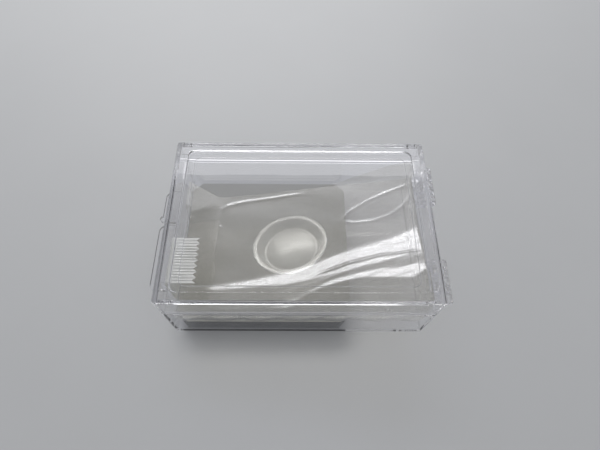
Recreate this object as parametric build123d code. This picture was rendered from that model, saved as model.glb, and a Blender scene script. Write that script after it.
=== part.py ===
from build123d import *
import os

# Boxed hemocytometer: a clear hinged case that holds a foam bed with the glass counting
# chamber and its cover glasses, a grey cover board, and a film pouch with a clear dish.
# Millimetres. Origin at the centre of the case's footprint, on its underside.
# +X runs from the finger tabs to the hinge, +Y from front to back, +Z up.

# ---- driving dimensions ----
CASE_LENGTH = 120.0
CASE_DEPTH = 82.0
WALL = 2.0
SEAM_Z = 26.8
LID_UNDERSIDE_Z = 39.4
CASE_TOP_Z = 42.0
CORNER_RADIUS = 1.4
EDGE_RADIUS = 0.5

SEAM_GAP = 0.05
SEAM_CHAMFER = 0.3
LAP_HEIGHT = 2.5
LAP_THICKNESS = 0.95
LAP_GAP = 0.1

PANEL_SIDE_INSET = 6.2
PANEL_END_INSET = 5.0
PANEL_RADIUS = 3.0
PANEL_RECESS = 0.8
PANEL_EDGE = 0.35
POCKET_INSET = 3.0
POCKET_DEPTH = 0.6
POCKET_EDGE = 0.35
PAD_SIZE = 3.4
PAD_HEIGHT = 0.6
PAD_X = 56.0
PAD_Y = 33.0

TAB_REACH = 6.2
TAB_THICKNESS = 2.0
TAB_RADIUS = 3.0
BASE_TAB_Y = (4.0, 21.5)
LID_TAB_Y = (-31.0, 1.5)
KNOB_X = -66.2
KNOB_Y = 6.4
KNOB_RADIUS = 1.3
KNOB_HEIGHT = 2.6

HINGE_OFFSET = 4.5
KNUCKLE_RADIUS = 3.0
KNUCKLE_EDGE = 0.4
PIN_RADIUS = 1.0
BORE_CLEARANCE = 0.06
HINGE_Y = 25.5
HINGE_SPAN = 20.0
EAR_WIDTH = 4.0
EAR_COUNT = 3
EAR_GAP = 0.2
HINGE_WEB = 4.6

BOARD_LEFT = -57.4
BOARD_RIGHT = 24.2
BOARD_HALF_DEPTH = 37.3
BOARD_BOTTOM_Z = 9.1
BOARD_TOP_Z = 10.7
BOARD_CHAMFER = 4.7

FOAM_LEFT = -57.8
FOAM_RIGHT = 23.6
FOAM_HALF_DEPTH = 38.4
FOAM_TOP_Z = 9.0
RECESS_FLOOR_Z = 3.6
RECESS_CLEARANCE = 0.5
FINGER_NOTCH_RADIUS = 8.0

CHAMBER_LENGTH = 75.0
CHAMBER_WIDTH = 35.0
CHAMBER_THICKNESS = 4.0
CHAMBER_X = -17.0
CHAMBER_Y = -18.0
MOAT_INNER_X = 8.0
MOAT_OUTER_X = 10.5
MOAT_DEPTH = 1.2
BRIDGE_HALF_GAP = 1.25
PLATFORM_END_Y = 13.0
COUNTING_DEPTH = 0.1
END_DROP = 0.6
NOTCH_WIDTH = 2.6
NOTCH_LENGTH = 3.0
NOTCH_DEPTH = 0.7

COVER_GLASS_LENGTH = 26.0
COVER_GLASS_WIDTH = 20.0
COVER_GLASS_THICKNESS = 0.4
SPARE_X = -36.0
SPARE_Y = 20.0
SPARE_FLOOR_Z = 7.0

DISH_CENTRE = (-4.9, -4.4, 22.6)
DISH_RIM_RADIUS = 18.3
DISH_MOUTH_RADIUS = 16.0
DISH_FLOOR_RADIUS = 13.2
DISH_DEPTH = 4.3
DISH_SHELL = 0.6
DISH_DOME = 1.2
DISH_TILT_X = 14.2
DISH_TILT_Y = 10.7

FILM = 0.35
SEAL_LEFT = -57.3
SEAL_RIGHT = -44.6
SEAL_FRONT = -31.0
SEAL_BACK = -9.6
SEAL_FOOT_Z = 14.0
SEAL_FOLD_Z = 37.5
SEAL_THICKNESS = 0.6
SEAL_TEETH = 8
SEAL_TOOTH = 1.1

# Cross-sections of the film bag, as X and then its (Y, Z) corners, going up the front,
# over the top to the back crease, and back along the underside.
BAG_SECTIONS = [
    (-56.3, [(-34.0, 12.0), (-34.0, 24.0), (-20.0, 24.5), (-8.0, 24.0), (30.5, 22.5), (12.0, 12.0)]),
    (-39.5, [(-37.5, 12.0), (-37.0, 28.5), (-15.0, 28.0), (5.0, 26.5), (19.0, 25.0), (9.0, 11.9)]),
    (12.0, [(-38.0, 12.0), (-37.5, 34.0), (-19.0, 31.0), (3.0, 29.8), (23.0, 28.5), (13.0, 12.5)]),
    (57.3, [(-38.0, 12.5), (-37.5, 37.4), (-18.0, 36.4), (4.0, 32.8), (27.5, 31.5), (15.0, 13.5)]),
]

# ---- derived dimensions ----
HALF_LENGTH = CASE_LENGTH / 2
HALF_DEPTH = CASE_DEPTH / 2
HINGE_X = HALF_LENGTH + HINGE_OFFSET
CHAMBER_TOP_Z = RECESS_FLOOR_Z + CHAMBER_THICKNESS
KNUCKLE_PITCH = (HINGE_SPAN - EAR_WIDTH) / (EAR_COUNT - 1)


def block(x_span, y_span, z_span):
    """A box between two corners, each span a (low, high) pair."""
    size = [span[1] - span[0] for span in (x_span, y_span, z_span)]
    middle = [(span[0] + span[1]) / 2 for span in (x_span, y_span, z_span)]
    return Pos(*middle) * Box(*size)


def centred_block(half_length, half_depth, z_span):
    """A box centred on the case's vertical axis."""
    return block((-half_length, half_length), (-half_depth, half_depth), z_span)


def rounded_block(half_length, half_depth, z_span, radius):
    """A centred box with rounded vertical edges."""
    body = centred_block(half_length, half_depth, z_span)
    return fillet(body.edges().filter_by(Axis.Z), radius)


def cylinder_y(x, z, radius, y_span):
    """A cylinder along Y between two Y values."""
    length = y_span[1] - y_span[0]
    place = Pos(x, (y_span[0] + y_span[1]) / 2, z) * Rot(90, 0, 0)
    return place * Cylinder(radius, length)


def finger_tab(y_span, z_span):
    """A flat tab on the left wall, with rounded outer corners."""
    tab = block((-HALF_LENGTH - TAB_REACH, -HALF_LENGTH + WALL / 2), y_span, z_span)
    outer = tab.edges().filter_by(Axis.Z).sort_by(Axis.X)[:2]
    return fillet(outer, TAB_RADIUS)


def knuckle(y_span, web_z_span):
    """One hinge knuckle with softened rims, and the web that joins it to the side wall."""
    round_part = cylinder_y(HINGE_X, SEAM_Z, KNUCKLE_RADIUS, y_span)
    round_part = fillet(round_part.edges().filter_by(GeomType.CIRCLE), KNUCKLE_EDGE)
    return round_part + block((HALF_LENGTH - WALL / 2, HINGE_X), y_span, web_z_span)


def hinge_ears(y_middle):
    """One base hinge group: three ears joined to the wall, and the pin through them."""
    start = y_middle - HINGE_SPAN / 2
    group = cylinder_y(HINGE_X, SEAM_Z, PIN_RADIUS, (start, start + HINGE_SPAN))
    for index in range(EAR_COUNT):
        low = start + index * KNUCKLE_PITCH
        group += knuckle((low, low + EAR_WIDTH), (SEAM_Z - HINGE_WEB, SEAM_Z))
    return group


def hinge_barrels(y_middle):
    """One lid hinge group: two barrels between the base's ears, joined to the lid wall."""
    start = y_middle - HINGE_SPAN / 2
    group = Part()
    for index in range(EAR_COUNT - 1):
        low = start + index * KNUCKLE_PITCH + EAR_WIDTH + EAR_GAP
        high = start + (index + 1) * KNUCKLE_PITCH - EAR_GAP
        group += knuckle((low, high), (SEAM_Z + SEAM_GAP, SEAM_Z + HINGE_WEB))
    bore_span = (start, start + HINGE_SPAN)
    return group - cylinder_y(HINGE_X, SEAM_Z, PIN_RADIUS + BORE_CLEARANCE, bore_span)


def make_case_base():
    """Lower tray: floor, four walls, an inner half-lap lip, hinge ears and a finger tab."""
    shell = rounded_block(HALF_LENGTH, HALF_DEPTH, (0, SEAM_Z), CORNER_RADIUS)
    shell = chamfer(shell.faces().sort_by(Axis.Z)[0].edges(), EDGE_RADIUS)
    shell = chamfer(shell.faces().sort_by(Axis.Z)[-1].edges(), SEAM_CHAMFER)
    lip_half_length = HALF_LENGTH - WALL + LAP_THICKNESS
    lip_half_depth = HALF_DEPTH - WALL + LAP_THICKNESS
    lip_span = (SEAM_Z - WALL, SEAM_Z + LAP_HEIGHT)
    shell += rounded_block(lip_half_length, lip_half_depth, lip_span, LAP_THICKNESS)
    cavity_span = (WALL, SEAM_Z + LAP_HEIGHT)
    shell -= centred_block(HALF_LENGTH - WALL, HALF_DEPTH - WALL, cavity_span)
    for side in (-1, 1):
        shell += hinge_ears(side * HINGE_Y)
    shell += finger_tab(BASE_TAB_Y, (SEAM_Z - TAB_THICKNESS, SEAM_Z))
    knob_z = SEAM_Z - KNOB_HEIGHT / 2
    return shell + Pos(KNOB_X, KNOB_Y, knob_z) * Cylinder(KNOB_RADIUS, KNOB_HEIGHT)


def rounded_floor_block(half_length, half_depth, z_span, radius, end, edge):
    """A rounded block whose bottom (end 0) or top (end -1) rim is rounded too."""
    body = rounded_block(half_length, half_depth, z_span, radius)
    return fillet(body.faces().sort_by(Axis.Z)[end].edges(), edge)


def make_case_lid():
    """Upper shell: skirt with a rebate over the base's lip, recessed top panel, hinge barrels."""
    skirt_z = SEAM_Z + SEAM_GAP
    shell = rounded_block(HALF_LENGTH, HALF_DEPTH, (skirt_z, CASE_TOP_Z), CORNER_RADIUS)
    shell = fillet(shell.faces().sort_by(Axis.Z)[-1].edges(), EDGE_RADIUS)
    shell = chamfer(shell.faces().sort_by(Axis.Z)[0].edges(), SEAM_CHAMFER)
    inner_half = (HALF_LENGTH - WALL, HALF_DEPTH - WALL)
    shell -= centred_block(*inner_half, (skirt_z, LID_UNDERSIDE_Z))
    panel_half = (HALF_LENGTH - PANEL_SIDE_INSET, HALF_DEPTH - PANEL_END_INSET)
    panel_z = CASE_TOP_Z - PANEL_RECESS
    panel_span = (panel_z, CASE_TOP_Z + PANEL_RECESS)
    shell -= rounded_floor_block(*panel_half, panel_span, PANEL_RADIUS, 0, PANEL_EDGE)
    rim_edges = shell.edges().filter_by_position(Axis.Z, CASE_TOP_Z, CASE_TOP_Z)
    inner_rim = [edge for edge in rim_edges if abs(edge.center().X) <= panel_half[0] + PANEL_EDGE]
    inner_rim = [edge for edge in inner_rim if abs(edge.center().Y) <= panel_half[1] + PANEL_EDGE]
    shell = fillet(inner_rim, PANEL_EDGE)
    pocket_half = (panel_half[0] - POCKET_INSET, panel_half[1] - POCKET_INSET)
    pocket_span = (LID_UNDERSIDE_Z - WALL, LID_UNDERSIDE_Z + POCKET_DEPTH)
    shell -= rounded_floor_block(*pocket_half, pocket_span, PANEL_RADIUS, -1, POCKET_EDGE)
    rebate = LAP_THICKNESS + LAP_GAP
    rebate_half = (inner_half[0] + rebate, inner_half[1] + rebate)
    rebate_span = (skirt_z, SEAM_Z + LAP_HEIGHT + LAP_GAP)
    shell -= rounded_block(*rebate_half, rebate_span, LAP_THICKNESS)
    for side_x in (-1, 1):
        for side_y in (-1, 1):
            shell += corner_pad(side_x * PAD_X, side_y * PAD_Y)
    for side in (-1, 1):
        shell += hinge_barrels(side * HINGE_Y)
    return shell + finger_tab(LID_TAB_Y, (skirt_z, SEAM_Z + TAB_THICKNESS))


def corner_pad(x, y):
    """A thin square pad under the lid's rim."""
    half = PAD_SIZE / 2
    z_span = (LID_UNDERSIDE_Z - PAD_HEIGHT, LID_UNDERSIDE_Z)
    return block((x - half, x + half), (y - half, y + half), z_span)


def chamfered_sheet(left, right, half_depth, z_span, corner):
    """A flat rectangular sheet with its four corners cut off."""
    sheet = block((left, right), (-half_depth, half_depth), z_span)
    return chamfer(sheet.edges().filter_by(Axis.Z), corner)


def make_foam_bed():
    """Foam block with a recess for the chamber, a finger notch and a cover glass pocket."""
    bed = chamfered_sheet(FOAM_LEFT, FOAM_RIGHT, FOAM_HALF_DEPTH, (WALL, FOAM_TOP_Z), BOARD_CHAMFER)
    half_length = CHAMBER_LENGTH / 2 + RECESS_CLEARANCE
    half_width = CHAMBER_WIDTH / 2 + RECESS_CLEARANCE
    bed -= block(
        (CHAMBER_X - half_length, CHAMBER_X + half_length),
        (CHAMBER_Y - half_width, CHAMBER_Y + half_width),
        (RECESS_FLOOR_Z, FOAM_TOP_Z),
    )
    notch_height = FOAM_TOP_Z - RECESS_FLOOR_Z
    notch_z = (FOAM_TOP_Z + RECESS_FLOOR_Z) / 2
    notch_y = CHAMBER_Y + half_width
    bed -= Pos(CHAMBER_X, notch_y, notch_z) * Cylinder(FINGER_NOTCH_RADIUS, notch_height)
    half_length = COVER_GLASS_LENGTH / 2 + RECESS_CLEARANCE
    half_width = COVER_GLASS_WIDTH / 2 + RECESS_CLEARANCE
    return bed - block(
        (SPARE_X - half_length, SPARE_X + half_length),
        (SPARE_Y - half_width, SPARE_Y + half_width),
        (SPARE_FLOOR_Z, FOAM_TOP_Z),
    )


def make_cover_board():
    """Grey board with cut corners, loose on top of the foam."""
    board_span = (BOARD_BOTTOM_Z, BOARD_TOP_Z)
    return chamfered_sheet(BOARD_LEFT, BOARD_RIGHT, BOARD_HALF_DEPTH, board_span, BOARD_CHAMFER)


def loading_notch(side):
    """V-groove at the outer end of one counting platform, where the sample runs in."""
    outline = Polyline(
        (-NOTCH_WIDTH / 2, 0),
        (0, -NOTCH_LENGTH),
        (NOTCH_WIDTH / 2, 0),
        close=True,
    )
    wedge = extrude(make_face(outline), NOTCH_DEPTH)
    turn = 0 if side > 0 else 180
    z = CHAMBER_TOP_Z - COUNTING_DEPTH - NOTCH_DEPTH
    return Pos(CHAMBER_X, CHAMBER_Y + side * PLATFORM_END_Y, z) * Rot(0, 0, turn) * wedge


def make_counting_chamber():
    """Thick glass slide with an H-shaped moat around two counting platforms."""
    half_width = CHAMBER_WIDTH / 2
    body = Pos(CHAMBER_X, CHAMBER_Y, RECESS_FLOOR_Z + CHAMBER_THICKNESS / 2) * Box(
        CHAMBER_LENGTH, CHAMBER_WIDTH, CHAMBER_THICKNESS
    )
    body = chamfer(body.edges().filter_by(Axis.Z), EDGE_RADIUS)
    moat_span = (CHAMBER_TOP_Z - MOAT_DEPTH, CHAMBER_TOP_Z)
    platform_x = (CHAMBER_X - MOAT_INNER_X, CHAMBER_X + MOAT_INNER_X)
    across = (CHAMBER_Y - half_width, CHAMBER_Y + half_width)
    for side in (-1, 1):
        edges = sorted((CHAMBER_X + side * MOAT_INNER_X, CHAMBER_X + side * MOAT_OUTER_X))
        body -= block(edges, across, moat_span)
    middle = (CHAMBER_Y - BRIDGE_HALF_GAP, CHAMBER_Y + BRIDGE_HALF_GAP)
    body -= block(platform_x, middle, moat_span)
    body -= block(platform_x, across, (CHAMBER_TOP_Z - COUNTING_DEPTH, CHAMBER_TOP_Z))
    for side in (-1, 1):
        ends = sorted((CHAMBER_Y + side * PLATFORM_END_Y, CHAMBER_Y + side * half_width))
        body -= block(platform_x, ends, (CHAMBER_TOP_Z - END_DROP, CHAMBER_TOP_Z))
        body -= loading_notch(side)
    return body


def make_cover_glass(x, y, bottom_z):
    """Optically flat cover glass, its long side along X."""
    z = bottom_z + COVER_GLASS_THICKNESS / 2
    return Pos(x, y, z) * Box(COVER_GLASS_LENGTH, COVER_GLASS_WIDTH, COVER_GLASS_THICKNESS)


def make_sample_dish():
    """Shallow clear dish with a flat flange, sloping wall and slightly domed floor."""
    floor_z = -DISH_DEPTH
    dome_z = floor_z + DISH_DOME
    outline = [
        Line((DISH_RIM_RADIUS, 0), (DISH_MOUTH_RADIUS, 0)),
        Line((DISH_MOUTH_RADIUS, 0), (DISH_FLOOR_RADIUS, floor_z)),
        Spline((DISH_FLOOR_RADIUS, floor_z), (0, dome_z), tangents=[(-1, 0.25), (-1, 0)]),
        Line((0, dome_z), (0, dome_z - DISH_SHELL)),
        Spline(
            (0, dome_z - DISH_SHELL),
            (DISH_FLOOR_RADIUS + DISH_SHELL / 2, floor_z - DISH_SHELL),
            tangents=[(1, 0), (1, -0.25)],
        ),
        Line(
            (DISH_FLOOR_RADIUS + DISH_SHELL / 2, floor_z - DISH_SHELL),
            (DISH_MOUTH_RADIUS + DISH_SHELL / 2, -DISH_SHELL),
        ),
        Line((DISH_MOUTH_RADIUS + DISH_SHELL / 2, -DISH_SHELL), (DISH_RIM_RADIUS, -DISH_SHELL)),
        Line((DISH_RIM_RADIUS, -DISH_SHELL), (DISH_RIM_RADIUS, 0)),
    ]
    profile = Plane.XZ * make_face(Wire(Curve() + outline))
    dish = revolve(profile, Axis.Z)
    return Pos(*DISH_CENTRE) * Rot(-DISH_TILT_X, -DISH_TILT_Y, 0) * dish


def bag_face(x, corners, inset):
    """One cross-section of the bag, shrunk by an inset."""
    points = [Vector(x, y, z) for y, z in corners]
    face = Face(Wire.make_polygon(points, close=True))
    if inset == 0:
        return face
    return offset(face, amount=-inset, kind=Kind.INTERSECTION).faces()[0]


def make_pouch_film():
    """The film bag: a closed thin-walled tube that lies over the board and holds the dish."""
    outer = loft([bag_face(x, corners, 0) for x, corners in BAG_SECTIONS], ruled=True)
    shifts = [FILM] + [0] * (len(BAG_SECTIONS) - 2) + [-FILM]
    inner = [bag_face(x + shift, corners, FILM) for shift, (x, corners) in zip(shifts, BAG_SECTIONS)]
    return outer - loft(inner, ruled=True)


def make_pouch_end_seal():
    """The crimped end of the pouch, standing at the left wall and folded over at the top."""
    pitch = (SEAL_BACK - SEAL_FRONT) / SEAL_TEETH
    points = [(SEAL_LEFT, SEAL_FRONT), (SEAL_RIGHT, SEAL_FRONT)]
    for tooth in range(SEAL_TEETH):
        start = SEAL_FRONT + tooth * pitch
        points.append((SEAL_RIGHT - SEAL_TOOTH, start + pitch / 2))
        points.append((SEAL_RIGHT, start + pitch))
    points.append((SEAL_LEFT, SEAL_BACK))
    outline = make_face(Polyline(*points, close=True))
    fold = Pos(0, 0, SEAL_FOLD_Z) * extrude(outline, SEAL_THICKNESS)
    upright = block(
        (SEAL_LEFT, SEAL_LEFT + SEAL_THICKNESS),
        (SEAL_FRONT, SEAL_BACK),
        (SEAL_FOOT_Z, SEAL_FOLD_Z),
    )
    return fold + upright


def make_parts():
    """Every node's name and solid."""
    spare = make_cover_glass(SPARE_X, SPARE_Y, SPARE_FLOOR_Z)
    return {
        "case_base": make_case_base(),
        "case_lid": make_case_lid(),
        "foam_bed": make_foam_bed(),
        "counting_chamber": make_counting_chamber(),
        "cover_glass": make_cover_glass(CHAMBER_X, CHAMBER_Y, CHAMBER_TOP_Z),
        "spare_cover_glass": spare,
        "cover_board": make_cover_board(),
        "sample_dish": make_sample_dish(),
        "pouch_film": make_pouch_film(),
        "pouch_end_seal": make_pouch_end_seal(),
    }


os.makedirs("parts", exist_ok=True)
for node, solid in make_parts().items():
    solid.label = node
    export_step(solid, f"parts/{node}.step")
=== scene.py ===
import math

import bmesh
import bpy
import numpy as np
from mathutils import Matrix, Vector


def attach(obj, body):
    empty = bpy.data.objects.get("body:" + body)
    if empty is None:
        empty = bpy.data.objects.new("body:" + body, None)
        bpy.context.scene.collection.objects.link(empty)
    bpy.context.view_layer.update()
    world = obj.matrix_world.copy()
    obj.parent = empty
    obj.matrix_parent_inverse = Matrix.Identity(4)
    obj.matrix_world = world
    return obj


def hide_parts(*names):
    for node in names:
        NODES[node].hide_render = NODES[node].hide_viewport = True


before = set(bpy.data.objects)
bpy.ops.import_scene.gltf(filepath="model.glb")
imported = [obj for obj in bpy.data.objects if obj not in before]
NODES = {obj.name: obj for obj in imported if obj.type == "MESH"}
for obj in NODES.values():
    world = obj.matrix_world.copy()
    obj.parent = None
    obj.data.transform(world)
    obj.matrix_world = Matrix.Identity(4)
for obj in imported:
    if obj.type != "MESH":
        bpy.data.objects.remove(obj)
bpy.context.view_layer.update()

# Boxed hemocytometer. The CAD case, board and glass stay as they are and get their materials
# here. The film pouch, its crimped end, the dish and the foam bed are finer meshes that stand
# for their CAD nodes. Shapes are worked out in millimetres in the CAD frame, and MM turns them
# into metres.

MM = 0.001


# ---------------------------------------------------------------- node helpers
def new_material(name):
    """An empty node material and its output node."""
    material = bpy.data.materials.new(name)
    material.use_nodes = True
    tree = material.node_tree
    tree.nodes.clear()
    output = tree.nodes.new("ShaderNodeOutputMaterial")
    return material, tree, output


def add_node(tree, kind, **values):
    """A node with its properties and inputs set by name."""
    node = tree.nodes.new(kind)
    for key, value in values.items():
        if hasattr(node, key):
            setattr(node, key, value)
        else:
            node.inputs[key.replace("_", " ")].default_value = value
    return node


def link(tree, source, target):
    tree.links.new(source, target)


def object_coords(tree, scale=(1, 1, 1)):
    """Object coordinates in millimetres, stretched by scale."""
    coords = tree.nodes.new("ShaderNodeTexCoord")
    mapping = tree.nodes.new("ShaderNodeMapping")
    mapping.inputs["Scale"].default_value = [1000 * s for s in scale]
    link(tree, coords.outputs["Object"], mapping.inputs["Vector"])
    return mapping.outputs["Vector"]


def noise(tree, vector, scale, detail=4.0, roughness=0.5):
    """Noise whose features are about 1/scale millimetres across."""
    node = add_node(tree, "ShaderNodeTexNoise", Scale=scale, Detail=detail, Roughness=roughness)
    link(tree, vector, node.inputs["Vector"])
    return node.outputs["Fac"]


def ramp(tree, source, low, high, from_low=0.0, from_high=1.0):
    """Maps a value from one range to another, clamped."""
    node = add_node(tree, "ShaderNodeMapRange")
    node.inputs["From Min"].default_value = from_low
    node.inputs["From Max"].default_value = from_high
    node.inputs["To Min"].default_value = low
    node.inputs["To Max"].default_value = high
    link(tree, source, node.inputs["Value"])
    return node.outputs["Result"]


def bump(tree, height, distance_mm, strength=1.0):
    """A bump normal from a height in 0..1."""
    node = add_node(tree, "ShaderNodeBump", Strength=strength, Distance=distance_mm * MM)
    link(tree, height, node.inputs["Height"])
    return node.outputs["Normal"]


def colour_mix(tree, factor, first, second):
    """A colour between two plain colours."""
    node = tree.nodes.new("ShaderNodeMix")
    node.data_type = "RGBA"
    node.inputs["A"].default_value = (*first, 1)
    node.inputs["B"].default_value = (*second, 1)
    link(tree, factor, node.inputs["Factor"])
    return node.outputs["Result"]


def let_lamps_through(tree, surface, tint, output):
    """Passes shadow rays and bounced light unbent, so a clear piece lights what lies behind it."""
    path = tree.nodes.new("ShaderNodeLightPath")
    clear = add_node(tree, "ShaderNodeBsdfTransparent", Color=(*tint, 1))
    lit = add_node(tree, "ShaderNodeMath", operation="MAXIMUM")
    link(tree, path.outputs["Is Shadow Ray"], lit.inputs[0])
    link(tree, path.outputs["Is Diffuse Ray"], lit.inputs[1])
    mix = tree.nodes.new("ShaderNodeMixShader")
    link(tree, lit.outputs["Value"], mix.inputs["Fac"])
    link(tree, surface, mix.inputs[1])
    link(tree, clear.outputs["BSDF"], mix.inputs[2])
    link(tree, mix.outputs["Shader"], output.inputs["Surface"])


# ---------------------------------------------------------------- materials
def clear_moulding(name, ior, tint, shadow_tint, scuff_mm, clarity=1.0, haze=0.0):
    """Clear moulded plastic: bends light, with faint flow waves and fine handling scuffs."""
    material, tree, output = new_material(name)
    shader = add_node(tree, "ShaderNodeBsdfPrincipled", IOR=ior)
    shader.inputs["Transmission Weight"].default_value = clarity
    shader.inputs["Base Color"].default_value = (*tint, 1)
    coords = object_coords(tree)
    scuffs = noise(tree, object_coords(tree, (0.3, 3.0, 1.0)), 0.9, 8.0, 0.7)
    link(tree, ramp(tree, scuffs, haze, haze + 0.05, 0.6, 0.9), shader.inputs["Roughness"])
    link(tree, bump(tree, noise(tree, coords, 0.05, 1.0), scuff_mm), shader.inputs["Normal"])
    let_lamps_through(tree, shader.outputs["BSDF"], shadow_tint, output)
    return material


def film_material(name, tint, gloss, haze, mirror_gain):
    """Thin glossy film: seen through unbent, a little milky, mirrored by both its faces."""
    material, tree, output = new_material(name)
    coords = object_coords(tree)
    clear = tree.nodes.new("ShaderNodeBsdfTransparent")
    streaks = noise(tree, object_coords(tree, (0.15, 1.2, 1.0)), 0.6, 3.0)
    clouded = [channel * 0.95 for channel in tint]
    streaked = colour_mix(tree, ramp(tree, streaks, 0, 1, 0.4, 0.8), tint, clouded)
    link(tree, streaked, clear.inputs["Color"])
    milk = add_node(tree, "ShaderNodeBsdfDiffuse", Color=(0.80, 0.80, 0.77, 1))
    wisps = noise(tree, object_coords(tree, (0.5, 1.0, 1.0)), 0.08, 4.0)
    cloudy = tree.nodes.new("ShaderNodeMixShader")
    link(tree, ramp(tree, wisps, haze * 0.6, haze * 1.4, 0.3, 0.7), cloudy.inputs["Fac"])
    link(tree, clear.outputs["BSDF"], cloudy.inputs[1])
    link(tree, milk.outputs["BSDF"], cloudy.inputs[2])
    mirror = add_node(tree, "ShaderNodeBsdfAnisotropic", distribution="GGX")
    mirror.inputs["Color"].default_value = (1, 1, 1, 1)
    fine = noise(tree, coords, 1.5, 3.0)
    link(tree, ramp(tree, fine, gloss, gloss * 2.2, 0.35, 0.75), mirror.inputs["Roughness"])
    ripples = noise(tree, object_coords(tree, (0.6, 1.0, 1.0)), 0.12, 2.0)
    normal = bump(tree, ripples, 0.05, 0.5)
    link(tree, normal, mirror.inputs["Normal"])
    # the film is one thin sheet, so its back face reflects as its front face does
    side = tree.nodes.new("ShaderNodeNewGeometry")
    fresnel = tree.nodes.new("ShaderNodeFresnel")
    link(tree, ramp(tree, side.outputs["Backfacing"], 1.5, 1 / 1.5), fresnel.inputs["IOR"])
    link(tree, normal, fresnel.inputs["Normal"])
    both_faces = add_node(tree, "ShaderNodeMath", operation="MULTIPLY", use_clamp=True)
    both_faces.inputs[1].default_value = mirror_gain
    link(tree, fresnel.outputs["Fac"], both_faces.inputs[0])
    mix = tree.nodes.new("ShaderNodeMixShader")
    link(tree, both_faces.outputs["Value"], mix.inputs["Fac"])
    link(tree, cloudy.outputs["Shader"], mix.inputs[1])
    link(tree, mirror.outputs["BSDF"], mix.inputs[2])
    let_lamps_through(tree, mix.outputs["Shader"], tint, output)
    return material


def board_material():
    """Grey sheet with a satin face, faint rolling lines and soft tone variation."""
    material, tree, output = new_material("grey_board")
    shader = add_node(tree, "ShaderNodeBsdfPrincipled")
    shader.inputs["Metallic"].default_value = 0.0
    coords = object_coords(tree)
    tone = noise(tree, coords, 0.03, 3.0)
    face = colour_mix(tree, tone, (0.315, 0.315, 0.304), (0.355, 0.355, 0.342))
    # the cut edges show the paler, yellower core
    facing = tree.nodes.new("ShaderNodeTexCoord")
    split = tree.nodes.new("ShaderNodeSeparateXYZ")
    link(tree, facing.outputs["Normal"], split.inputs["Vector"])
    upright = add_node(tree, "ShaderNodeMath", operation="ABSOLUTE")
    link(tree, split.outputs["Z"], upright.inputs[0])
    cut = tree.nodes.new("ShaderNodeMix")
    cut.data_type = "RGBA"
    cut.inputs["A"].default_value = (0.86, 0.84, 0.70, 1)
    link(tree, face, cut.inputs["B"])
    link(tree, ramp(tree, upright.outputs["Value"], 0, 1, 0.3, 0.7), cut.inputs["Factor"])
    link(tree, cut.outputs["Result"], shader.inputs["Base Color"])
    lines = noise(tree, object_coords(tree, (0.2, 6.0, 1.0)), 0.8, 5.0)
    link(tree, ramp(tree, lines, 0.62, 0.78), shader.inputs["Roughness"])
    shader.inputs["Specular IOR Level"].default_value = 0.3
    link(tree, bump(tree, lines, 0.01, 0.5), shader.inputs["Normal"])
    link(tree, shader.outputs["BSDF"], output.inputs["Surface"])
    return material


def foam_material():
    """Charcoal closed-cell foam."""
    material, tree, output = new_material("dark_foam")
    shader = add_node(tree, "ShaderNodeBsdfPrincipled")
    shader.inputs["Roughness"].default_value = 0.9
    coords = object_coords(tree)
    cells = add_node(tree, "ShaderNodeTexVoronoi", Scale=2.2)
    link(tree, coords, cells.inputs["Vector"])
    shade = ramp(tree, cells.outputs["Distance"], 0.0, 1.0, 0.0, 0.7)
    grey = colour_mix(tree, shade, (0.018, 0.02, 0.024), (0.05, 0.053, 0.06))
    link(tree, grey, shader.inputs["Base Color"])
    link(tree, bump(tree, shade, 0.15, 0.8), shader.inputs["Normal"])
    link(tree, shader.outputs["BSDF"], output.inputs["Surface"])
    return material


def floor_material():
    """Pale matt table."""
    material, tree, output = new_material("table_surface")
    shader = add_node(tree, "ShaderNodeBsdfPrincipled")
    shader.inputs["Roughness"].default_value = 0.55
    coords = object_coords(tree)
    tone = noise(tree, coords, 0.02, 3.0)
    pale = colour_mix(tree, tone, (0.545, 0.55, 0.56), (0.57, 0.575, 0.585))
    link(tree, pale, shader.inputs["Base Color"])
    link(tree, shader.outputs["BSDF"], output.inputs["Surface"])
    return material


def assign(piece, material):
    piece.data.materials.clear()
    piece.data.materials.append(material)


def assign_cad(node, material):
    for slot in NODES[node].material_slots:
        slot.material = material


# ---------------------------------------------------------------- shapes
def smooth(start, end, value):
    """0 before start, 1 after end, and a smooth rise between."""
    t = np.clip((value - start) / (end - start), 0.0, 1.0)
    return t * t * (3.0 - 2.0 * t)


def line_at(points, x):
    """Y of a line through (x, y) points, its ends carried on straight."""
    xs, ys = np.array(points, dtype=float).T
    first = (ys[1] - ys[0]) / (xs[1] - xs[0])
    last = (ys[-1] - ys[-2]) / (xs[-1] - xs[-2])
    inside = np.interp(x, xs, ys)
    return inside + np.minimum(x - xs[0], 0) * first + np.maximum(x - xs[-1], 0) * last


def soft_line(points, x, width=6.0):
    """line_at with its corners rounded over a width."""
    shifts = np.linspace(-1.0, 1.0, 9) * width
    return sum(line_at(points, x + shift) for shift in shifts) / len(shifts)


def ridge(x, y, points, height, width):
    """A thin rounded ridge along a polyline, fading at both ends."""
    best = np.full(x.shape, 1e9)
    along = np.zeros(x.shape)
    path = np.array(points, dtype=float)
    steps = np.linalg.norm(np.diff(path, axis=0), axis=1)
    total = steps.sum()
    done = 0.0
    for start, end, step in zip(path[:-1], path[1:], steps):
        run = (end - start) / step
        t = np.clip((x - start[0]) * run[0] + (y - start[1]) * run[1], 0, step)
        gap = np.hypot(x - start[0] - t * run[0], y - start[1] - t * run[1])
        nearer = gap < best
        best = np.where(nearer, gap, best)
        along = np.where(nearer, (done + t) / total, along)
        done += step
    fade = smooth(0.0, 0.12, along) * (1 - smooth(0.88, 1.0, along))
    return height * np.exp(-((best / width) ** 2)) * (0.25 + 0.75 * fade)


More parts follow.
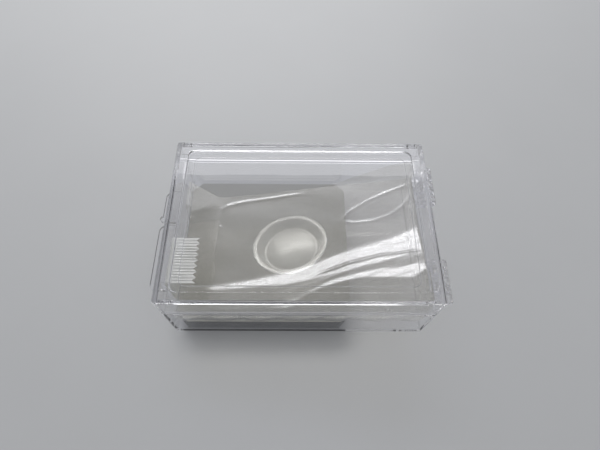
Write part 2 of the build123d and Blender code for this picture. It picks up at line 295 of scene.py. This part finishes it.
def mesh_object(name, points, faces, material, smooth_faces=True):
    """A mesh object from millimetre points, with shared corners welded."""
    mesh = bpy.data.meshes.new(name)
    work = bmesh.new()
    corners = [work.verts.new((p[0] * MM, p[1] * MM, p[2] * MM)) for p in points]
    for face in faces:
        work.faces.new([corners[index] for index in face])
    bmesh.ops.recalc_face_normals(work, faces=work.faces)
    for face in work.faces:
        face.smooth = smooth_faces
    work.to_mesh(mesh)
    work.free()
    piece = bpy.data.objects.new(name, mesh)
    bpy.context.scene.collection.objects.link(piece)
    assign(piece, material)
    return piece


def grid_faces(rows, columns, start=0):
    """Quads of a grid whose points run row by row."""
    faces = []
    for row in range(rows - 1):
        for column in range(columns - 1):
            corner = start + row * columns + column
            faces.append((corner, corner + 1, corner + columns + 1, corner + columns))
    return faces


# The bag's top is one surface. It runs from the back crease to the front wall, and its slope
# changes at these lines, given as (x, y) points in millimetres.
BACK_CREASE = [(-57.3, 30.5), (-39.5, 19.0), (-20.0, 20.6), (20.0, 24.3), (57.3, 27.5)]
CREASE_HEIGHT = [(-57.3, 22.9), (-39.5, 25.4), (12.0, 28.8), (57.3, 31.8)]
BEND = [
    (-58, -26.4), (-36, -25.4), (-21, -23.2), (-8, -20.4), (7, -15.6),
    (22, -9.8), (37, -5.0), (47, -2.0), (57, 2.5),
]
FLAT_AGAIN = [
    (-58, -28.8), (-36, -28.8), (-21, -28.2), (0, -26.2),
    (13, -23.6), (26.5, -19.9), (40, -16.4), (57, -13.4),
]
SECOND_BEND = [
    (-52, -44.0), (0, -34.0), (8, -28.8), (15, -25.4), (30, -21.8), (44, -20.4), (57, -18.8),
]
SECOND_END = [
    (-52, -60.0), (0, -35.0), (8, -29.8), (15, -28.0), (27, -25.8), (44, -26.8), (57, -27.4),
]
LEAF_TOP = [(19.5, 4.0), (24.5, 9.4), (33.0, 14.6), (43.0, 19.3), (55.0, 24.2)]
LEAF_BOTTOM = [(19.5, 3.4), (26.0, 2.6), (34.0, 3.3), (43.0, 6.4), (50.0, 11.8), (54.6, 18.6)]
LEAF_INNER = [(29.6, 9.2), (34.0, 12.6), (41.0, 16.0)]
STRIP_EDGE = [(-38.6, 12.2), (-33.6, 14.6), (-27.6, 15.9), (-18.0, 17.2), (2.0, 19.9)]
SWEEP_LINE = [(8.0, -23.6), (22.0, -18.6), (36.0, -15.4), (55.2, -13.6)]
FLAP_EDGE = [(-58.5, 8.5), (-50.0, 10.5), (-39.6, 13.5)]
CASE_INSIDE_X = 57.0
FRONT_Y = -37.7
BOTTOM_Z = 12.0
# slope of the top behind BEND, and its change at BEND and at each of the three lines after it
BACK_SLOPE = 0.015
SLOPE_STEPS = (0.25, -0.17, 0.20, -0.34)
# share of the underside's way that lies along the board
ALONG_BOARD = 0.62
# heights that the two ends close to
LEFT_SLIT_Z = 15.5
RIGHT_SLIT_Z = 24.0


def bag_top(x, y, crease_z, rise):
    """Height of the bag's top, from the rise already summed along each column."""
    z = crease_z + rise
    # low wide waves in loose film
    z += 0.10 * np.sin(0.17 * x + 0.22 * y + 0.9) * np.sin(0.11 * x - 0.13 * y + 2.1)
    z += 0.012 * np.sin(0.62 * x + 0.23 * y) * np.sin(0.31 * y - 0.17 * x + 0.4)
    # long ripples along the pulled part
    past = line_at(BEND, x) - y
    pulled = smooth(0.0, 5.0, past) * smooth(-40.0, 10.0, x)
    z += pulled * 0.020 * np.sin(1.55 * past + 0.9 * np.sin(0.11 * x + 0.6))
    z += pulled * 0.008 * np.sin(3.1 * past + 1.7 * np.sin(0.16 * x + 1.9) + 1.1)
    # fine upright streaks beside the left fold
    beside = np.exp(-(((x + 36.6) / 2.4) ** 2))
    beside = beside * (1 - smooth(13.0, 17.0, y)) * smooth(-27.0, -18.0, y)
    z += beside * 0.10 * np.sin(2.6 * x + 0.7 * np.sin(0.25 * y))
    # creases
    z += ridge(x, y, LEAF_TOP, 0.18, 0.9) + ridge(x, y, LEAF_BOTTOM, 0.18, 0.9)
    z += ridge(x, y, LEAF_INNER, 0.10, 0.7) + ridge(x, y, STRIP_EDGE, 0.20, 0.9)
    z += ridge(x, y, SWEEP_LINE, 0.20, 0.6)
    z += ridge(x, y, [(-38.2, 3.2), (-37.2, -3.2)], 0.22, 0.8)
    # the left end sinks a little in front of the back flap
    flap = smooth(-2.5, 2.5, y - line_at(FLAP_EDGE, x))
    falling = smooth(-38.0, -60.0, x) * (1.0 - flap)
    z -= 2.6 * falling
    # the right end rounds off against the wall
    end = np.clip((x - (CASE_INSIDE_X - 3.0)) / 3.0, 0, 1)
    z -= 5.0 * (1 - np.sqrt(np.clip(1 - end**2, 0, 1)))
    return np.clip(z, BOTTOM_Z + 1.0, 37.6)


def make_film_bag(material):
    """The clear film bag: a tube of thin film, flat at the back crease and full at the front."""
    columns, top_rows, front_rows, under_rows = 260, 210, 22, 30
    edges = np.linspace(-1, 1, columns)
    x = CASE_INSIDE_X * (edges + 0.02 * np.sin(math.pi * edges))
    back = soft_line(BACK_CREASE, x, 1.2)
    crease_z = line_at(CREASE_HEIGHT, x)
    share = np.linspace(0, 1, top_rows)[:, None]
    y_top = back + (FRONT_Y - back) * share
    xx = np.broadcast_to(x, y_top.shape)
    slope = np.full(xx.shape, BACK_SLOPE)
    slope += SLOPE_STEPS[0] * smooth(0.0, 3.6, soft_line(BEND, xx, 4.0) - y_top)
    slope += SLOPE_STEPS[1] * smooth(0.0, 2.6, soft_line(FLAT_AGAIN, xx, 4.0) - y_top)
    slope += SLOPE_STEPS[2] * smooth(0.0, 2.2, soft_line(SECOND_BEND, xx, 4.0) - y_top)
    slope += SLOPE_STEPS[3] * smooth(0.0, 1.6, soft_line(SECOND_END, xx, 4.0) - y_top)
    step = (back - FRONT_Y) / (top_rows - 1)
    rise = np.vstack([np.zeros(columns), np.cumsum((slope[1:] + slope[:-1]) / 2 * step, axis=0)])
    z_top = bag_top(xx, y_top, crease_z, rise)
    # front: a rounded shoulder, then down inside the front wall with a few soft folds
    low = np.linspace(0, 1, front_rows)[1:, None]
    shoulder = z_top[-1]
    y_front = FRONT_Y - 0.7 * np.sin(math.pi * low) + 0.35 * np.sin(0.35 * x + 5 * low) * low
    z_front = shoulder + (BOTTOM_Z + 0.6 - shoulder) * (low**1.25)
    # underside: along the board, then up to the back crease
    turn_y = np.interp(x, [-57, -39.5, 12, 57], [13.0, 9.5, 13.5, 15.5])
    under = np.linspace(0, 1, under_rows)[1:, None]
    first = smooth(0.0, ALONG_BOARD, under)
    lift = np.clip((under - ALONG_BOARD) / (1 - ALONG_BOARD), 0, 1)
    y_along = FRONT_Y + (turn_y - FRONT_Y) * under / ALONG_BOARD
    y_under = np.where(under < ALONG_BOARD, y_along, turn_y + (back - turn_y) * lift)
    z_under = BOTTOM_Z + 0.6 * (1 - first) + (crease_z - BOTTOM_Z) * (0.3 * lift + 0.7 * lift**2)
    z_under += 0.12 * np.sin(0.3 * x + 0.25 * y_under) * (1 - lift)
    y_all = np.vstack([y_top, np.broadcast_to(y_front, (front_rows - 1, columns)), y_under])
    z_all = np.vstack([z_top, z_front, z_under])
    # both ends close to a slit, apart from the flap behind the left one
    left = smooth(-54.5, -CASE_INSIDE_X, x)
    right = smooth(CASE_INSIDE_X - 1.2, CASE_INSIDE_X, x)
    z_slit = np.where(x < 0, LEFT_SLIT_Z, RIGHT_SLIT_Z)
    pinch = np.maximum(left, right) * 0.96
    flap_rows = smooth(12.0, 16.0, y_all)
    pinch = np.where(x < 0, pinch * (1 - flap_rows), pinch)
    z_all = z_all * (1 - pinch) + z_slit * pinch
    rows = y_all.shape[0]
    points = [(x[c], y_all[r, c], z_all[r, c]) for r in range(rows) for c in range(columns)]
    faces = grid_faces(rows, columns)
    # a gusset layer is folded in under the left end
    fold_rows, fold_columns, depth = 40, 24, 1.4
    start = len(points)
    for share_y in np.linspace(0, 1, fold_rows):
        for share_x in np.linspace(0, 1, fold_columns):
            fx = -54.5 + (15.1 + 0.5 * math.sin(9 * share_y)) * share_x
            fy = -26.5 + 33.5 * share_y
            column = int(np.argmin(np.abs(x - fx)))
            row = int(np.argmin(np.abs(y_top[:, column] - fy)))
            fz = z_top[row, column] - depth + 0.06 * math.sin(2.1 * fx) * share_x
            points.append((fx, fy, fz))
    faces += grid_faces(fold_rows, fold_columns, start)
    # the lap seam stands a little behind the crease at the right
    seam_rows = 10
    start = len(points)
    use = [c for c in range(columns) if x[c] > 8.0]
    for row in range(seam_rows):
        reach = row / (seam_rows - 1)
        for c in use:
            width = 8.5 * smooth(8.0, 58.0, x[c]) ** 0.8
            wave = 0.25 * math.sin(0.4 * x[c] + 3 * reach) * reach
            height = crease_z[c] + 2.2 * reach**2 * width / 8.5 + wave
            points.append((x[c], back[c] + width * reach + 0.02, height))
    faces += grid_faces(seam_rows, len(use), start)
    return mesh_object("film_bag", points, faces, material)


CRIMP_FRONT = -31.0
CRIMP_BACK = -9.6
CRIMP_RIGHT = -44.0
CRIMP_TEETH = 8
CRIMP_FOLD_X = -54.8
CRIMP_TOP_Z = 37.6
TOOTH_DEPTH = 1.6


def make_crimp(material):
    """The crimped end: up the left wall, over at the top, ribbed, with a zigzag cut edge."""
    across = 241
    path = [(-56.6, 15.2), (-57.0, 18.0), (-57.2, 24.0), (-57.25, 30.0), (-57.2, 34.0)]
    bend_centre, bend_radius = (-55.0, 35.4), 2.2
    for turn in range(1, 8):
        angle = math.pi - turn * math.pi / 14 * 0.93
        x = bend_centre[0] + bend_radius * math.cos(angle)
        z = bend_centre[1] + bend_radius * math.sin(angle)
        path.append((x, z))
    top_start = len(path)
    top_length = CRIMP_RIGHT - CRIMP_FOLD_X
    for share in np.linspace(0.12, 1.0, 26):
        path.append((CRIMP_FOLD_X + top_length * share, CRIMP_TOP_Z + 0.25 * share))
    points = []
    y_values = np.linspace(CRIMP_FRONT, CRIMP_BACK, across)
    for index, (x, z) in enumerate(path):
        top = index >= top_start
        share = max(0.0, (index - top_start + 1) / (len(path) - top_start))
        for y in y_values:
            phase = (y - CRIMP_FRONT) / (CRIMP_BACK - CRIMP_FRONT) * CRIMP_TEETH
            tooth = abs((phase % 1.0) - 0.5) * 2
            rib = 0.06 * math.sin(2 * math.pi * phase * 2 + 0.5 * math.sin(phase * 1.3))
            rib += 0.03 * math.sin(2 * math.pi * phase * 3.4 + 1.0)
            sag = -0.18 * math.sin(math.pi * (y - CRIMP_FRONT) / (CRIMP_BACK - CRIMP_FRONT)) * share
            if top:
                edge = 1.0 - (1.0 - tooth) * TOOTH_DEPTH / top_length
                points.append((CRIMP_FOLD_X + (x - CRIMP_FOLD_X) * edge, y, z + rib + sag))
            else:
                points.append((x + abs(rib) * 0.8, y, z))
    return mesh_object("film_crimp", points, grid_faces(len(path), across), material)


DISH_TILT_X = -14.2
DISH_TILT_Y = -10.7


def make_dish(material):
    """The clear dish: one closed shell turned about its own axis, with a rolled rim."""
    nodes = NODES["sample_dish"].data.vertices
    cloud = np.array([vertex.co[:] for vertex in nodes]) / MM
    low_corner, high_corner = cloud.min(axis=0), cloud.max(axis=0)
    tilt_x = Matrix.Rotation(math.radians(DISH_TILT_X), 4, "X")
    turn = tilt_x @ Matrix.Rotation(math.radians(DISH_TILT_Y), 4, "Y")
    rim, mouth, floor, depth, shell, dome = 18.25, 16.0, 13.2, 4.3, 0.55, 2.3
    upper = [(rim, -0.28), (rim - 0.08, -0.08), (rim - 0.3, 0.0)]
    upper += [(mouth + 0.45, -0.02), (mouth, -0.18), (mouth - 0.28, -0.6)]
    upper += [(floor + 0.45, -depth + 0.75), (floor, -depth + 0.16), (floor - 0.6, -depth)]
    for share in (0.9, 0.78, 0.64, 0.5, 0.36, 0.22, 0.1):
        upper.append((floor * share, -depth + dome * (1 - share**2)))
    lower = [(r, z - shell) for r, z in upper[4:]]
    lower = [(upper[0][0] - 0.1, -shell), (mouth + 0.5, -shell)] + lower
    profile = upper + [(0.0, -depth + dome)] + [(0.0, -depth + dome - shell)] + lower[::-1]
    segments = 144
    points = []
    rings = []
    for r, z in profile:
        if r == 0.0:
            rings.append([len(points)])
            points.append((0.0, 0.0, z))
        else:
            rings.append(list(range(len(points), len(points) + segments)))
            for step in range(segments):
                angle = 2 * math.pi * step / segments
                points.append((r * math.cos(angle), r * math.sin(angle), z))
    faces = []
    closed = rings + [rings[0]]
    for ring, following in zip(closed[:-1], closed[1:]):
        for step in range(segments):
            after = (step + 1) % segments
            if len(ring) == 1 and len(following) == 1:
                break
            if len(following) == 1:
                faces.append((ring[step], ring[after], following[0]))
            elif len(ring) == 1:
                faces.append((ring[0], following[after], following[step]))
            else:
                faces.append((ring[step], ring[after], following[after], following[step]))
    turned = [turn @ Vector(p) for p in points]
    spread = np.array([v[:] for v in turned])
    middle = (spread.min(axis=0) + spread.max(axis=0)) / 2
    shift = (low_corner + high_corner) / 2 - middle
    placed = [tuple(v + Vector(shift)) for v in turned]
    return mesh_object("clear_dish", placed, faces, material)


FOAM_EDGE = 0.35


def make_foam(material):
    """The foam bed, copied from its CAD solid with softened edges."""
    source = NODES["foam_bed"].data
    mesh = source.copy()
    work = bmesh.new()
    work.from_mesh(mesh)
    bmesh.ops.remove_doubles(work, verts=work.verts, dist=1e-6)
    bmesh.ops.dissolve_limit(work, angle_limit=math.radians(2), verts=work.verts, edges=work.edges)
    sharp = [e for e in work.edges if e.is_manifold and e.calc_face_angle() > math.radians(30)]
    bmesh.ops.bevel(
        work, geom=sharp, offset=FOAM_EDGE * MM, segments=3, profile=0.5,
        affect="EDGES", clamp_overlap=True,
    )
    for face in work.faces:
        face.smooth = False
    work.to_mesh(mesh)
    work.free()
    piece = bpy.data.objects.new("foam_bed_soft", mesh)
    bpy.context.scene.collection.objects.link(piece)
    assign(piece, material)
    return piece


# ---------------------------------------------------------------- scene around the object
CAMERA_PLACE = (-2.04, -95.84, 210.12)
CAMERA_PITCH = 61.58
CAMERA_YAW = -1.25
CAMERA_ROLL = 1.43
CAMERA_LENS = 25.98


def make_camera():
    """The viewpoint: close above the front of the case, looking steeply down."""
    data = bpy.data.cameras.new("camera")
    data.lens = CAMERA_LENS
    data.sensor_width = 36
    data.clip_start = 0.01
    camera = bpy.data.objects.new("camera", data)
    turn = Matrix.Rotation(math.radians(CAMERA_YAW), 4, "Z")
    lean = Matrix.Rotation(math.radians(90 - CAMERA_PITCH), 4, "X")
    roll = Matrix.Rotation(math.radians(CAMERA_ROLL), 4, "Z")
    camera.matrix_world = Matrix.Translation(Vector(CAMERA_PLACE) * MM) @ turn @ lean @ roll
    bpy.context.scene.collection.objects.link(camera)
    bpy.context.scene.camera = camera


def make_floor():
    """A large pale plane under the case."""
    mesh = bpy.data.meshes.new("floor")
    half = 3.0
    level = -0.15 * MM
    outline = [(-half, -half), (half, -half), (half, half), (-half, half)]
    corners = [(x, y, level) for x, y in outline]
    mesh.from_pydata(corners, [], [(0, 1, 2, 3)])
    floor = bpy.data.objects.new("floor", mesh)
    bpy.context.scene.collection.objects.link(floor)
    assign(floor, floor_material())


def area_light(name, place, target, size, power):
    """A white rectangular light at place, facing target."""
    data = bpy.data.lights.new(name, "AREA")
    data.shape = "RECTANGLE"
    data.size, data.size_y = size
    data.energy = power
    light = bpy.data.objects.new(name, data)
    light.location = place
    light.rotation_euler = (Vector(target) - Vector(place)).to_track_quat("-Z", "Y").to_euler()
    bpy.context.scene.collection.objects.link(light)


def make_lights():
    """A soft sky, a low bright window behind the case, and a dimmer strip above it."""
    world = bpy.data.worlds.new("world")
    bpy.context.scene.world = world
    world.use_nodes = True
    background = world.node_tree.nodes["Background"]
    background.inputs["Color"].default_value = (0.96, 0.975, 1.0, 1)
    background.inputs["Strength"].default_value = 0.44
    target = (0, 0, 0.03)
    area_light("window", (-0.13, 0.79, 0.62), target, size=(0.87, 0.24), power=5.0)
    area_light("upper_window", (0.0, 0.62, 0.76), target, size=(1.2, 0.155), power=0.62)


def set_picture():
    """Plain colour handling, and enough bounces for many clear layers."""
    bounces = 32
    scene = bpy.context.scene
    scene.view_settings.view_transform = "Standard"
    scene.cycles.max_bounces = bounces
    scene.cycles.glossy_bounces = bounces
    scene.cycles.transmission_bounces = bounces
    scene.cycles.transparent_max_bounces = bounces


make_camera()
make_floor()
make_lights()
set_picture()

CASE = clear_moulding(
    "clear_case", ior=1.56, tint=(0.975, 0.975, 0.993), shadow_tint=(0.995, 0.995, 1.0),
    scuff_mm=0.02,
)
DISH = clear_moulding(
    "clear_dish", ior=1.49, tint=(0.97, 0.97, 0.95), shadow_tint=(0.98, 0.98, 0.975),
    scuff_mm=0.02, clarity=0.9, haze=0.24,
)
GLASS = clear_moulding(
    "optical_glass", ior=1.52, tint=(0.96, 0.99, 0.98), shadow_tint=(0.95, 0.97, 0.96),
    scuff_mm=0.0,
)
FILM = film_material("clear_film", (0.905, 0.897, 0.866), gloss=0.17, haze=0.035, mirror_gain=1.8)
CRIMP = film_material(
    "clear_film_crimped", (0.93, 0.94, 0.91), gloss=0.26, haze=0.50, mirror_gain=1.6
)
FOAM = foam_material()

assign_cad("case_base", CASE)
assign_cad("case_lid", CASE)
assign_cad("cover_board", board_material())
assign_cad("counting_chamber", GLASS)
assign_cad("cover_glass", GLASS)
assign_cad("spare_cover_glass", GLASS)

foam = make_foam(FOAM)
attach(foam, "base")
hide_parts("foam_bed")

bag = make_film_bag(FILM)
crimp = make_crimp(CRIMP)
dish = make_dish(DISH)
for piece, node, finish in (
    (bag, "pouch_film", "clear_film"),
    (crimp, "pouch_end_seal", "clear_film"),
    (dish, "sample_dish", "clear_dish"),
):
    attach(piece, "pouch")
    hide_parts(node)
